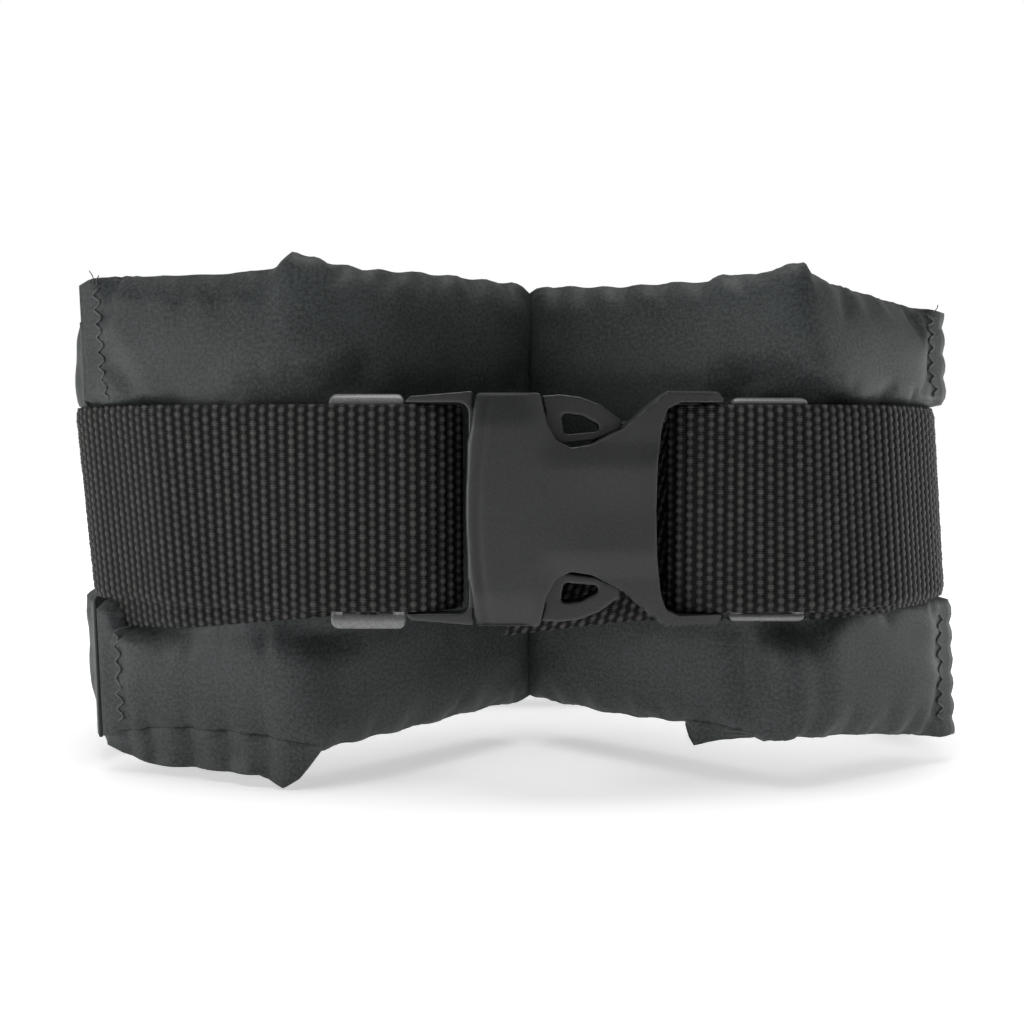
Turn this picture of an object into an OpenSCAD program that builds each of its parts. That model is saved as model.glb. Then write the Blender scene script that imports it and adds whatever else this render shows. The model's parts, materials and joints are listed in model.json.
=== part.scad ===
// Dive weight belt with soft shot pouches, buckled and lying as a flattened ring.
// Millimetres. The origin is the middle of the closed ring at half height.
// +X runs along the front webbing towards the female buckle half, +Y runs from the
// buckle to the back of the belt, +Z is up. Plan points below are [x, y] measured
// from the datum: the front face of the webbing at the middle of the buckle.

/* [Webbing] */
// Width of the belt webbing
web_w = 50; // [46:1:52]
// Thickness of the belt webbing
web_t = 2; // [1.6:0.1:2.1]
// Lean of the cut at the tip of the spare tail
tip_lean = 25; // [0:1:35]

/* [Ring] */
// Depth of the ring from the front webbing to the back webbing
ring_d = 125; // [120:1:135]
// Reach of the webbing to the left of the datum
left_reach = 118; // [116:1:122]
// Reach of the webbing to the right of the datum
right_reach = 122; // [120:1:126]

/* [Pouches] */
// Height of each pouch
pouch_h = 118; // [100:1:130]
// Thickness of a filled pouch
pouch_t = 16; // [12:0.5:17]
// Thickness of a pouch at its sewn ends
end_t = 6; // [5:0.5:7]
// Length over which a pouch thins towards its ends
end_run = 14; // [10:1:14]
// Thickness of the cover fabric
cover_t = 0.8; // [0.5:0.1:1]
// Height of the lead shot inside each shot bag
shot_h = 98; // [60:1:98]

/* [Buckle] */
// Overall thickness of the female half
buckle_t = 14; // [12:0.5:14]
// Distance that the female half stands in front of the webbing
buckle_proud = 5; // [4:0.5:6]
// Thickness of the male half and its prongs
male_t = 6; // [5:0.5:6.5]
// Play between the male half and the channel it slides in
play = 0.35; // [0.25:0.05:0.5]

/* [Sliders] */
// Height of a slider over its end rails
slider_h = 57; // [54:1:60]
// Width of a slider along the webbing
slider_w = 18; // [16:1:19]
// Thickness of a slider
slider_t = 4; // [3.8:0.1:4.2]

/* [Hidden] */

fabric_grey = "#3f4244";
webbing_black = "#26272a";
plastic_grey = "#3b3d40";
thread_black = "#1c1d1f";
bag_grey = "#8d8f90";
lead_grey = "#6f7377";

$fn = 48;
corner_step = 9;               // largest turn between two points of a rounded corner
eps = 0.5;                     // overshoot of a cut through a face
layer_gap = 0.25;              // air between two layers of webbing
layer = web_t + layer_gap;     // step from one layer of webbing to the next

// Datum in the part's own frame, so that the origin is the middle of the ring.
datum = [(left_reach - right_reach) / 2, -(ring_d - buckle_proud) / 2, 0];

// Webbing bars: the two layers of a loop pass in front of and behind each bar.
bar_t = 3;                                  // both ways across a bar
bar_y = web_t + layer_gap + bar_t / 2;      // depth of the bar's middle
loop_r = bar_t / 2 + layer_gap + web_t / 2; // radius of the webbing's middle round a bar
male_bar_x = -21;
female_bar_x = 47;

// Sliders, by the x of their left edge.
left_slider_x = -44;
right_slider_x = 53;
slider_bar_w = 3;
slider_y = web_t + layer_gap;               // front face of a slider

// Pouch outlines: the outer face of each pouch, anticlockwise seen from above.
seam_d = end_t / 2;                         // depth of the seam between the two panels
side_gap = 3 * layer + 0.3;                 // webbing layers between side pouches and outside
left_face = -left_reach + layer + 3;
right_face = right_reach - side_gap;
back_face = ring_d - 2 * layer - 1;
crease_y = 52;
front_left_line = [[-100.5, 26], [-52.5, 8], [4.2, crease_y]];
front_right_line = [[5.8, crease_y], [69, 8.5], [107, 36]];
right_line = [[right_face - 5.4, 40.6], [right_face, 60], [right_face - 4, back_face - 29],
              [right_face - 22, back_face - 9], [57, back_face]];
back_line = [[52, back_face - 1], [18, back_face - 14], [-22, back_face - 14], [-56, back_face - 1]];
left_line = [[-61, back_face], [left_face + 22, back_face - 9], [left_face + 3, back_face - 29],
             [left_face, 56], [left_face + 6, 36]];

// ---- plan geometry ----

function unit(v) = v / norm(v);
function left_of(v) = [-v[1], v[0]];
function turned(v, a) = [v[0] * cos(a) - v[1] * sin(a), v[0] * sin(a) + v[1] * cos(a)];
function turn_between(u, v) = atan2(u[0] * v[1] - u[1] * v[0], u * v);
function reversed(list) = [for (i = [len(list) - 1:-1:0]) list[i]];

// Points of the arc that rounds the corner b between a and c.
function rounded_corner(a, b, c, r) =
    let (u = unit(b - a), v = unit(c - b), t = turn_between(u, v))
    abs(t) < 1 ? [b] :
    let (
        reach = min(r * tan(abs(t) / 2), 0.48 * norm(b - a), 0.48 * norm(c - b)),
        radius = reach / tan(abs(t) / 2),
        spoke = left_of(u) * sign(t) * radius,
        steps = ceil(abs(t) / corner_step)
    )
    [for (i = [0:steps]) b - u * reach + spoke - turned(spoke, t * i / steps)];

function rounded(line, r) = concat(
    [line[0]],
    [for (i = [1:len(line) - 2]) each rounded_corner(line[i - 1], line[i], line[i + 1], r)],
    [line[len(line) - 1]]
);

function heading(line, i) =
    i == 0 ? unit(line[1] - line[0]) :
    i == len(line) - 1 ? unit(line[i] - line[i - 1]) :
    unit(unit(line[i] - line[i - 1]) + unit(line[i + 1] - line[i]));

// The line moved d to its left, by one distance for each point.
function moved_left(line, d) = [for (i = [0:len(line) - 1]) line[i] + left_of(heading(line, i)) * d[i]];
function same(line, d) = [for (p = line) d];

// The line shortened by d at both ends.
function trimmed(line, d) =
    let (last = len(line) - 1)
    [for (i = [0:last])
        i == 0 ? line[0] + unit(line[1] - line[0]) * d :
        i == last ? line[last] - unit(line[last] - line[last - 1]) * d :
        line[i]];

// The line with one more point at distance d from each end.
function with_end_points(line, d) =
    let (last = len(line) - 1)
    concat(
        [line[0], line[0] + unit(line[1] - line[0]) * d],
        [for (i = [1:last - 1]) line[i]],
        [line[last] - unit(line[last] - line[last - 1]) * d, line[last]]
    );

function arc(centre, r, from, to) =
    let (steps = ceil(abs(to - from) / 15))
    [for (i = [0:steps]) centre + r * [cos(from + (to - from) * i / steps),
                                       sin(from + (to - from) * i / steps)]];

module placed() translate(datum) children();

// A standing strip between two offsets of a line.
module strip(line, near, far, h)
    linear_extrude(h, center = true)
        polygon(concat(moved_left(line, near), reversed(moved_left(line, far))));

// ---- pouches ----

// Plan of a pouch, or of a layer inside it: inset on every side, and kept
// between the depths from and to behind the outer face.
module pouch_block(line, inset, from, to, h) {
    path = with_end_points(trimmed(rounded(line, pouch_t + 2), inset), end_run);
    last = len(path) - 1;
    far = [for (i = [0:last]) min(to, (i == 0 || i == last ? end_t : pouch_t) - inset)];
    strip(path, same(path, max(from, inset)), far, h);
}

module outer_panel(line) color(fabric_grey) placed() difference() {
    pouch_block(line, 0, 0, seam_d, pouch_h);
    pouch_block(line, cover_t, 0, seam_d + eps, pouch_h - 2 * cover_t);
}

module inner_panel(line) color(fabric_grey) placed() difference() {
    pouch_block(line, 0, seam_d, pouch_t, pouch_h);
    pouch_block(line, cover_t, seam_d - eps, pouch_t, pouch_h - 2 * cover_t);
}

bag_gap = 0.4;                 // air between the cover and the shot bag
bag_t = 0.4;                   // fabric of the shot bag
bag_inset = cover_t + bag_gap;
shot_inset = bag_inset + bag_t;

module shot_bag(line) color(bag_grey) placed() difference() {
    pouch_block(line, bag_inset, 0, pouch_t, pouch_h - 2 * bag_inset);
    pouch_block(line, shot_inset, 0, pouch_t, pouch_h - 2 * shot_inset);
}

// The shot settles to the bottom of its bag, so the fill is lower than the bag.
module lead_shot(line) color(lead_grey) placed()
    translate([0, 0, -(pouch_h - 2 * shot_inset - shot_h) / 2 + 0.1])
        pouch_block(line, shot_inset + 0.1, 0, pouch_t, shot_h);

// ---- stitching ----

stitch_w = 3;                  // width of a row of overlock stitching
stitch_t = 0.5;                // how far the threads stand off the fabric

// Rows of overlock stitching on the outer face of the front pouches' outer ends.
module pouch_end_stitching() color(thread_black) placed() {
    row_h = (pouch_h - web_w) / 2 - 8;
    rise = web_w / 2 + 4 + row_h / 2;
    left_end = front_left_line[0];
    left_dir = unit(front_left_line[1] - left_end);
    right_end = front_right_line[2];
    right_dir = unit(front_right_line[1] - right_end);
    for (s = [-1, 1]) translate([0, 0, s * rise]) {
        strip([left_end + 1.5 * left_dir, left_end + (1.5 + stitch_w) * left_dir],
              [-stitch_t, -stitch_t], [0, 0], row_h);
        strip([right_end + (1.5 + stitch_w) * right_dir, right_end + 1.5 * right_dir],
              [-stitch_t, -stitch_t], [0, 0], row_h);
    }
}

// ---- webbing ----

function left_reach_in(d) = -left_reach + web_t / 2 + d;
function right_reach_in(d) = right_reach - web_t / 2 - d;

sweep_r = 18;                  // radius of the webbing's bends
web_back = ring_d - web_t / 2;
web_front = web_t / 2;
behind_slider = slider_y + slider_t / 2 + 0.2 + web_t / 2;
over_slider_bar = behind_slider - layer;

// Webbing through a slider: behind both end bars and in front of the middle bar.
function slider_weave(x) = [
    [x - 1, behind_slider],
    [x + slider_bar_w + 0.6, behind_slider],
    [x + slider_w / 2 - slider_bar_w / 2 - 0.4, over_slider_bar],
    [x + slider_w / 2 + slider_bar_w / 2 + 0.4, over_slider_bar],
    [x + slider_w - slider_bar_w - 0.6, behind_slider],
    [x + slider_w + 1, behind_slider]
];

// Side and front of the left webbing, ending at the ridge of the front left pouch.
left_sweep = [[-60, web_back], [-94, web_back - 9], [left_reach_in(4), ring_d - 32],
              [left_reach_in(0), 50], [-110.5, 27.5], [-86, 10], [-47, web_front]];
right_sweep = [[62, web_back], [97, web_back - 9], [right_reach_in(4), ring_d - 32],
               [right_reach_in(0), 52], [112.5, 28.5], [95, 11.5], [71, web_front]];

module webbing(line) strip(line, same(line, -web_t / 2), same(line, web_t / 2), web_w);

// A layer of webbing lying n layers inside a line that runs anticlockwise.
function layer_inside(line, n) = moved_left(line, same(line, n * (layer + 0.1)));

// Left webbing: from the join at the back, round the left side and the male bar,
// through the left slider and back along itself to its cut end.
module left_strap() color(webbing_black) placed() {
    under = web_back - layer;
    last = len(left_sweep) - 1;
    tail_end = (left_sweep[last - 2] + left_sweep[last - 1]) / 2;
    tail = layer_inside(rounded([tail_end, left_sweep[last - 1], left_sweep[last]], sweep_r), 1);
    webbing(concat(
        rounded(concat([[30, under], [-35, under]], left_sweep), sweep_r),
        arc([male_bar_x, bar_y], loop_r, -90, 90),
        reversed(slider_weave(left_slider_x)),
        reversed(tail)
    ));
}

// Right webbing: from the join at the back to the female bar, through the right
// slider, folded back on itself at the right side, to the spare tail behind the buckle.
module right_strap() color(webbing_black) placed() {
    last = len(right_sweep) - 1;
    fold_at = (right_sweep[last - 3] + right_sweep[last - 2]) / 2;
    after_slider = (right_sweep[last] + right_sweep[last - 1]) / 2;
    shadowed = rounded([after_slider, right_sweep[last - 1], right_sweep[last - 2], fold_at], sweep_r);
    second = layer_inside(shadowed, 1);
    third = layer_inside(shadowed, 2);
    end = len(second) - 1;
    fold = (second[end] + third[end]) / 2;
    fold_r = norm(second[end] - third[end]) / 2;
    fold_turn = turn_between([1, 0], second[end] - third[end]);
    difference() {
        webbing(concat(
            rounded(concat([[-30, web_back]], right_sweep), sweep_r),
            arc([female_bar_x, bar_y], loop_r, 270, 90),
            slider_weave(right_slider_x),
            second,
            arc(fold, fold_r, fold_turn + 10, fold_turn + 170),
            reversed(third),
            rounded([[74, 8.4], [female_end_x + 2, tail_y], [-8, tail_y]], 12)
        ));
        translate([tip_x, tail_y, 0]) rotate([0, tip_lean, 0])
            translate([-50, 0, 0]) cube([100, 2 * web_t + 1, 2 * web_w], center = true);
    }
}

tail_y = buckle_t - buckle_proud + 0.6 + web_t / 2;   // spare tail, just behind the buckle
tip_x = 15;                                           // middle of the slanted tip

// Box of stitches that joins the two webbings at the back.
module back_box_stitch() color(thread_black) placed() translate([0, ring_d, 0]) {
    box_w = 44;
    box_h = 40;
    diagonal = atan2(box_h, box_w);
    for (s = [-1, 1]) {
        translate([0, 0, s * box_h / 2]) cube([box_w, stitch_t, 1], center = true);
        translate([s * box_w / 2, 0, 0]) cube([1, stitch_t, box_h + 1], center = true);
        rotate([0, s * diagonal, 0]) cube([norm([box_w, box_h]), stitch_t, 1], center = true);
    }
}

// Bartacks that hold each webbing to the side and back pouches.
module strap_bartacks() color(thread_black) placed() {
    tack_h = 40;
    for (x = [-100, -78, 80, 103]) bartack(x, tack_h);
}

module bartack(x, h) {
    web = x < 0 ? left_sweep : right_sweep;
    a = web[abs(x) > 90 ? 1 : 0];
    b = web[abs(x) > 90 ? 2 : 1];
    p = a + (b - a) * (x - a[0]) / (b[0] - a[0]);
    d = unit(b - a) * (x < 0 ? 1 : -1);
    outside = left_of(d) * (x < 0 ? -1 : 1);
    line = [p - d * stitch_w / 2, p + d * stitch_w / 2];
    translate(concat(outside * (web_t / 2 + stitch_t / 2), 0))
        strip(line, same(line, -stitch_t / 2), same(line, stitch_t / 2), h);
}

// ---- buckle ----

mouth_x = -10;                  // left end of the female half
shoulder_x = 6.6;               // edge that the prongs' pads catch behind
frame_x = 34;                   // left end of the female webbing slot
channel_end_x = 26.6;           // right end of the channel for the prongs
female_end_x = 50.5;            // ends of the arms that carry the webbing bar
female_half_h = 28;
channel_half_h = 24.2;          // half height of the channel for the prongs
slot_half_h = web_w / 2 + 0.4;

// Outline of the upper half of the female half, in x and z. The long notch is the
// side window where a prong's pad can be pressed.
function female_outline() = [
    [mouth_x - 1, 0], [mouth_x - 0.5, 16], [mouth_x + 1.8, female_half_h - 0.5],
    [shoulder_x, female_half_h - 0.5], [8.2, 20.5], [10.3, 16.4], [14, 14.6], [19, 15.4],
    [26, 19], [32, 24.4], [36.5, female_half_h], [female_end_x - 1.5, female_half_h],
    [female_end_x, female_half_h - 1.5], [female_end_x, 0]
];

// Outline of the upper half of the female webbing slot, open on the right.
function female_slot() = [
    [frame_x, 0], [frame_x + 0.4, 12], [frame_x + 1.3, 20], [frame_x + 2.6, 23.8],
    [frame_x + 6, slot_half_h], [female_end_x + eps, slot_half_h], [female_end_x + eps, 0]
];

// Side profile of the female half in x and y: the arms thin towards the webbing bar.
function female_profile() = [
    [mouth_x - 2, 0.8 - buckle_proud], [mouth_x + 2, -buckle_proud], [frame_x - 4, -buckle_proud],
    [frame_x + 2, 0.8 - buckle_proud], [female_bar_x, -1.4], [female_end_x + eps, 0.3],
    [female_end_x + eps, bar_y + 3.2], [frame_x + 2, buckle_t - buckle_proud - 1],
    [frame_x - 4, buckle_t - buckle_proud], [mouth_x - 2, buckle_t - buckle_proud]
];

// Turns an x-z outline into a plate from y0 to y1.
module plate(y0, y1) translate([0, y1, 0]) rotate([90, 0, 0]) linear_extrude(y1 - y0) children();

module both_halves() {
    children();
    mirror([0, 1]) children();
}

// Round bar that the webbing loops around.
module webbing_bar(x) translate([x, bar_y, 0]) cylinder(h = 2 * slot_half_h + 1, d = bar_t, center = true);

module buckle_female() color(plastic_grey) placed() {
    difference() {
        intersection() {
            plate(-buckle_t, buckle_t) both_halves() polygon(female_outline());
            linear_extrude(2 * female_half_h, center = true) polygon(female_profile());
        }
        // Channel for the prongs and the guide, open at the mouth and at the windows.
        translate([mouth_x - 2, bar_y - male_t / 2 - play, -channel_half_h])
            cube([channel_end_x - mouth_x + 2, male_t + 2 * play, 2 * channel_half_h]);
        plate(-buckle_t, buckle_t) both_halves() polygon(female_slot());
    }
    webbing_bar(female_bar_x);
}

prong_root = [-5.5, 20];        // x and z of the upper prong's flexing root
root_r = 2.6;
male_left_x = -25.5;
male_frame_x = mouth_x + 0.6;   // where the frame meets the female half's mouth
male_slot_x = mouth_x - 0.4;    // right end of the male webbing slot
male_half_h = 28.2;
neck_x = prong_root[0] + 1;     // right end of the neck that carries the prongs
guide_half_h = 5;
guide_t = 3;

// Outline of the upper half of the male frame, in x and z: its rails taper to the left.
function male_outline() = [
    [male_left_x, 0], [male_left_x, male_half_h - 2.2], [male_left_x + 1.2, male_half_h - 1.2],
    [male_frame_x, male_half_h], [male_frame_x, 0]
];

module buckle_male() color(plastic_grey) placed() {
    difference() {
        plate(bar_y - male_t / 2, bar_y + male_t / 2) {
            both_halves() polygon(male_outline());
            // Neck that carries the two prongs.
            translate([male_slot_x, play - channel_half_h])
                square([neck_x - male_slot_x, 2 * (channel_half_h - play)]);
        }
        // Webbing slot, open on the left.
        plate(bar_y - male_t, bar_y + male_t)
            hull() for (x = [male_left_x - 4, male_slot_x - 2.5], z = [-1, 1])
                translate([x, z * (slot_half_h - 2.5)]) circle(2.5);
        // Round seats where the prongs flex.
        for (s = [-1, 1]) translate([prong_root[0], bar_y, s * prong_root[1]]) rotate([90, 0, 0])
            cylinder(h = 2 * male_t, r = root_r + 0.15, center = true);
    }
    // Guide that keeps the two halves in line.
    plate(bar_y - guide_t / 2, bar_y + guide_t / 2)
        translate([neck_x - 1, -guide_half_h]) square([28, 2 * guide_half_h]);
    webbing_bar(male_bar_x);
}

// Upper prong: a flexing arm with a pad that catches behind the window's shoulder.
module prong() difference() {
    union() {
        plate(bar_y - male_t / 2 + 0.2, bar_y + male_t / 2 - 0.2)
            translate(prong_root) circle(root_r);
        plate(bar_y - male_t / 2, bar_y + male_t / 2)
            polygon([prong_root + [0, 2.3], [shoulder_x + 1.5, 22.3], [shoulder_x + 0.5, 27],
                     [11.4, 27.4], [16.2, 26.8], [21, 25], [26, 21.3], [26, 19], [20, 16.5],
                     [12, 15.5], [6, 17], prong_root - [0, 2.3]]);
    }
    plate(bar_y - male_t, bar_y + male_t)
        hull() for (hole = [[12.9, 21.7], [16.3, 21.3], [19.8, 19.5], [13.3, 18.9]])
            translate(hole) circle(1);
}

module upper_prong() color(plastic_grey) placed() prong();
module lower_prong() color(plastic_grey) placed() mirror([0, 0, 1]) prong();

// ---- sliders ----

// Frame with three bars. The end bars are in front and the middle bar is at the
// back, so the webbing weaves between them.
module slider(x) placed() translate([x, slider_y, 0]) {
    rail_h = (slider_h - 2 * slot_half_h) / 2;
    for (s = [-1, 1]) translate([slider_w / 2, slider_t / 2, s * (slot_half_h + rail_h / 2)])
        plate(-slider_t / 2, slider_t / 2)
            hull() for (e = [-1, 1]) translate([e * (slider_w / 2 - rail_h / 2), 0]) circle(rail_h / 2);
    for (bx = [0, slider_w - slider_bar_w])
        translate([bx, 0, -slot_half_h - 1]) cube([slider_bar_w, slider_t / 2 - 0.1, 2 * slot_half_h + 2]);
    translate([slider_w / 2 - slider_bar_w / 2, slider_t / 2 + 0.4, -slot_half_h - 1])
        cube([slider_bar_w, slider_t / 2 - 0.4, 2 * slot_half_h + 2]);
}

module left_slider() color(plastic_grey) slider(left_slider_x);
module right_slider() color(plastic_grey) slider(right_slider_x);

outer_panel(front_left_line);  // front_left_outer_panel
inner_panel(front_left_line);  // front_left_inner_panel
shot_bag(front_left_line);  // front_left_shot_bag
lead_shot(front_left_line);  // front_left_lead_shot
outer_panel(front_right_line);  // front_right_outer_panel
inner_panel(front_right_line);  // front_right_inner_panel
shot_bag(front_right_line);  // front_right_shot_bag
lead_shot(front_right_line);  // front_right_lead_shot
outer_panel(right_line);  // right_outer_panel
inner_panel(right_line);  // right_inner_panel
shot_bag(right_line);  // right_shot_bag
lead_shot(right_line);  // right_lead_shot
outer_panel(back_line);  // back_outer_panel
inner_panel(back_line);  // back_inner_panel
shot_bag(back_line);  // back_shot_bag
lead_shot(back_line);  // back_lead_shot
outer_panel(left_line);  // left_outer_panel
inner_panel(left_line);  // left_inner_panel
shot_bag(left_line);  // left_shot_bag
lead_shot(left_line);  // left_lead_shot
pouch_end_stitching();
strap_bartacks();
back_box_stitch();
left_strap();
right_strap();
buckle_female();
buckle_male();
upper_prong();
lower_prong();
left_slider();
right_slider();
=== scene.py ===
import json
import math

import bpy
import numpy as np
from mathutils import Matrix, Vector

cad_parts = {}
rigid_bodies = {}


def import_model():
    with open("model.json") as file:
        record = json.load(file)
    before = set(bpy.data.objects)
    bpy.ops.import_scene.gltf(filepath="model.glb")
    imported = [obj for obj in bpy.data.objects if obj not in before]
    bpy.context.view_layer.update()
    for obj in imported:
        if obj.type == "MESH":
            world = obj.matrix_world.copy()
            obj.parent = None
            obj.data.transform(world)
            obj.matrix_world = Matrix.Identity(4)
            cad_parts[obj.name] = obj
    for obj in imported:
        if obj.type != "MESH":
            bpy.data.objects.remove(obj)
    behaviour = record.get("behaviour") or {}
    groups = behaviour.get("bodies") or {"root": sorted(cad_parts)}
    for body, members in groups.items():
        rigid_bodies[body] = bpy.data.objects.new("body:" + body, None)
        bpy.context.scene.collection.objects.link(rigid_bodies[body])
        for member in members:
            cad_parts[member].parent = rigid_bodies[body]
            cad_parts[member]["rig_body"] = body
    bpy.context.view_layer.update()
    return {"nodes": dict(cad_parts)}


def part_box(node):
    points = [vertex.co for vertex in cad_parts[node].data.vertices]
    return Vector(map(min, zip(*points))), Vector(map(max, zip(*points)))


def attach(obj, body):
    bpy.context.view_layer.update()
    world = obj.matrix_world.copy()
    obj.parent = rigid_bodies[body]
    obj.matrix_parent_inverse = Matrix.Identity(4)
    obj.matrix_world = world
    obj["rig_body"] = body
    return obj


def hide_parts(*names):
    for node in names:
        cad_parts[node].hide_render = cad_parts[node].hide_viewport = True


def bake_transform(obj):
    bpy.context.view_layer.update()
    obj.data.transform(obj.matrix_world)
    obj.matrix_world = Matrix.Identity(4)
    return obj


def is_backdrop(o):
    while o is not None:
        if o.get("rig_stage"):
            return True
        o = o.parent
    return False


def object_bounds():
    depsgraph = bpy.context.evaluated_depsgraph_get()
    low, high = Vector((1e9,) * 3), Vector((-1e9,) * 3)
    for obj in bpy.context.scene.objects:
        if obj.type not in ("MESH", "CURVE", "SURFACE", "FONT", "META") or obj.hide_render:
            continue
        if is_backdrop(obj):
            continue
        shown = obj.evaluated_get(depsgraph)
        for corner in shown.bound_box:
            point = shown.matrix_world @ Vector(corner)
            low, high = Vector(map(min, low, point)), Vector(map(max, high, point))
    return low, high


# Looks of a soft-pouch dive weight belt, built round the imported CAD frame.
# Lengths are in millimetres from the datum, the front face of the webbing at the
# middle of the buckle, until in_frame() turns them into the frame's metres.
# A plan line is a run of [x, y] points going anticlockwise seen from above, so the
# inside of the ring is always on its left.

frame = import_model()

MM = 0.001

# Sizes shared with the CAD part.
WEB_W = 50.0
WEB_T = 2.0
BUCKLE_PROUD = 5.0        # how far the buckle's front stands in front of the webbing's
MOUTH_REACH = 11.0        # from the datum to the female half's left end

female_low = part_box("buckle_female")[0]
DATUM_X = female_low.x / MM + MOUTH_REACH
DATUM_Y = female_low.y / MM + BUCKLE_PROUD
RING_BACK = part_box("right_strap")[1].y / MM - DATUM_Y
LEFT_REACH = DATUM_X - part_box("left_strap")[0].x / MM
RIGHT_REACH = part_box("right_strap")[1].x / MM - DATUM_X

# The soft parts lean: their lower edges lie further right than their upper ones.
WEBBING_LEAN = 0.08
FRONT_LEAN = 0.03
SIDE_LEAN = 0.06
LEAN_STARTS = 45.0        # to each side of the datum
LEAN_FULL = 105.0

PATH_STEP = 0.25          # spacing of the points while a line is smoothed
LATTICE = 64              # cells of noise in each direction, before it repeats
CHUNK = 4096              # points compared with a line at once, which saves memory
TINY = 1e-9               # shorter than any real length


# ---- small tools ----

def smoothstep(low, high, x):
    t = np.clip((x - low) / (high - low), 0, 1)
    return t * t * (3.0 - 2.0 * t)


def bell(x, width):
    """1 at the middle, falling smoothly to almost nothing at twice the width."""
    return np.exp(-(x / width) ** 2)


def soft_noise(x, y, size, seed):
    """Smooth random field from -1 to 1, whose bumps are about size across."""
    lattice = np.random.default_rng(seed).uniform(-1, 1, (LATTICE, LATTICE))
    u, v = np.asarray(x) / size, np.asarray(y) / size
    i, j = np.floor(u).astype(int), np.floor(v).astype(int)
    fu, fv = smoothstep(0, 1, u - i), smoothstep(0, 1, v - j)
    i0, i1, j0, j1 = i % LATTICE, (i + 1) % LATTICE, j % LATTICE, (j + 1) % LATTICE
    low = lattice[i0, j0] * (1 - fu) + lattice[i1, j0] * fu
    high = lattice[i0, j1] * (1 - fu) + lattice[i1, j1] * fu
    return low * (1 - fv) + high * fv


def resampled(points, step):
    """The same line with points about step apart."""
    points = np.asarray(points, float)
    lengths = np.hypot(*np.diff(points, axis=0).T)
    keep = np.concatenate([[True], lengths > TINY])
    points = points[keep]
    at = np.concatenate([[0], np.cumsum(np.hypot(*np.diff(points, axis=0).T))])
    count = max(2, int(round(at[-1] / step)) + 1)
    where = np.linspace(0, at[-1], count)
    return np.stack([np.interp(where, at, points[:, k]) for k in (0, 1)], axis=1)


def smooth_line(corners, softness, step=1):
    """A line through the corners, with each corner rounded over about softness each way."""
    dense = resampled(corners, PATH_STEP)
    reach = max(1, int(softness / PATH_STEP))
    lead_in = dense[0] + (dense[0] - dense[1]) * np.arange(reach, 0, -1)[:, None]
    lead_out = dense[-1] + (dense[-1] - dense[-2]) * np.arange(1, reach + 1)[:, None]
    padded = np.concatenate([lead_in, dense, lead_out])
    window = np.hanning(2 * reach + 3)[1:-1]
    window /= window.sum()
    rounded = np.stack([np.convolve(padded[:, k], window, "valid") for k in (0, 1)], axis=1)
    return resampled(rounded, step)


def inward(line):
    """Unit vectors from a plan line to the inside of the ring."""
    along = np.gradient(line, axis=0)
    along /= np.linalg.norm(along, axis=1)[:, None]
    return np.stack([-along[:, 1], along[:, 0]], axis=1)


def distances(line):
    """The length along a plan line to each of its points."""
    return np.concatenate([[0], np.cumsum(np.hypot(*np.diff(line, axis=0).T))])


def arc(centre, radius, start, end, count=25):
    """Points of an arc between two angles in degrees."""
    angles = np.radians(np.linspace(start, end, count))
    return np.stack([centre[0] + radius * np.cos(angles), centre[1] + radius * np.sin(angles)], axis=1)


def leaned(points, lean):
    """Points sheared as the belt leans, by nothing near the buckle and by lean towards its sides."""
    points = np.array(points, float)
    share = smoothstep(LEAN_STARTS, LEAN_FULL, np.abs(points[..., 0]))
    points[..., 0] -= lean * share * points[..., 2]
    return points


def depth_behind(points, line):
    """How far plan points lie to the inside of a line, and the inward direction there."""
    normal = inward(line)
    flat = points.reshape(-1, 2)
    depth, direction = np.empty(len(flat)), np.empty((len(flat), 2))
    for first in range(0, len(flat), CHUNK):
        part = flat[first:first + CHUNK]
        gap = part[:, None, :] - line[None, :, :]
        nearest = np.argmin((gap ** 2).sum(-1), axis=1)
        picked = np.arange(len(part))
        direction[first:first + CHUNK] = normal[nearest]
        depth[first:first + CHUNK] = (gap[picked, nearest] * normal[nearest]).sum(-1)
    return depth.reshape(points.shape[:-1]), direction.reshape(points.shape)


def in_frame(points):
    """Metres in the frame, from millimetres from the datum."""
    return (np.asarray(points, float) + [DATUM_X, DATUM_Y, 0]) * MM


def mesh_object(name, points, quads, uv=None):
    """A smooth-shaded mesh object from points in millimetres and quads of point numbers."""
    mesh = bpy.data.meshes.new(name)
    points = in_frame(points).reshape(-1, 3)
    quads = np.asarray(quads, np.int32).reshape(-1, 4)
    mesh.vertices.add(len(points))
    mesh.vertices.foreach_set("co", points.astype(np.float32).ravel())
    mesh.loops.add(quads.size)
    mesh.loops.foreach_set("vertex_index", quads.ravel())
    mesh.polygons.add(len(quads))
    mesh.polygons.foreach_set("loop_start", np.arange(0, quads.size, 4, dtype=np.int32))
    if uv is not None:
        layer = mesh.uv_layers.new(name="cloth")
        layer.data.foreach_set("uv", np.asarray(uv, np.float32).reshape(-1, 2)[quads.ravel()].ravel())
    mesh.update(calc_edges=True)
    mesh.validate()
    mesh.polygons.foreach_set("use_smooth", np.full(len(mesh.polygons), True))
    obj = bpy.data.objects.new(name, mesh)
    bpy.context.scene.collection.objects.link(obj)
    return obj


def grid_quads(rows, columns, first=0, flipped=False):
    """Quads of a grid whose point numbers run along each row in turn."""
    r, c = np.meshgrid(np.arange(rows - 1), np.arange(columns - 1), indexing="ij")
    a = first + r * columns + c
    quads = np.stack([a, a + 1, a + columns + 1, a + columns], axis=-1).reshape(-1, 4)
    return quads[:, ::-1] if flipped else quads


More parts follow.
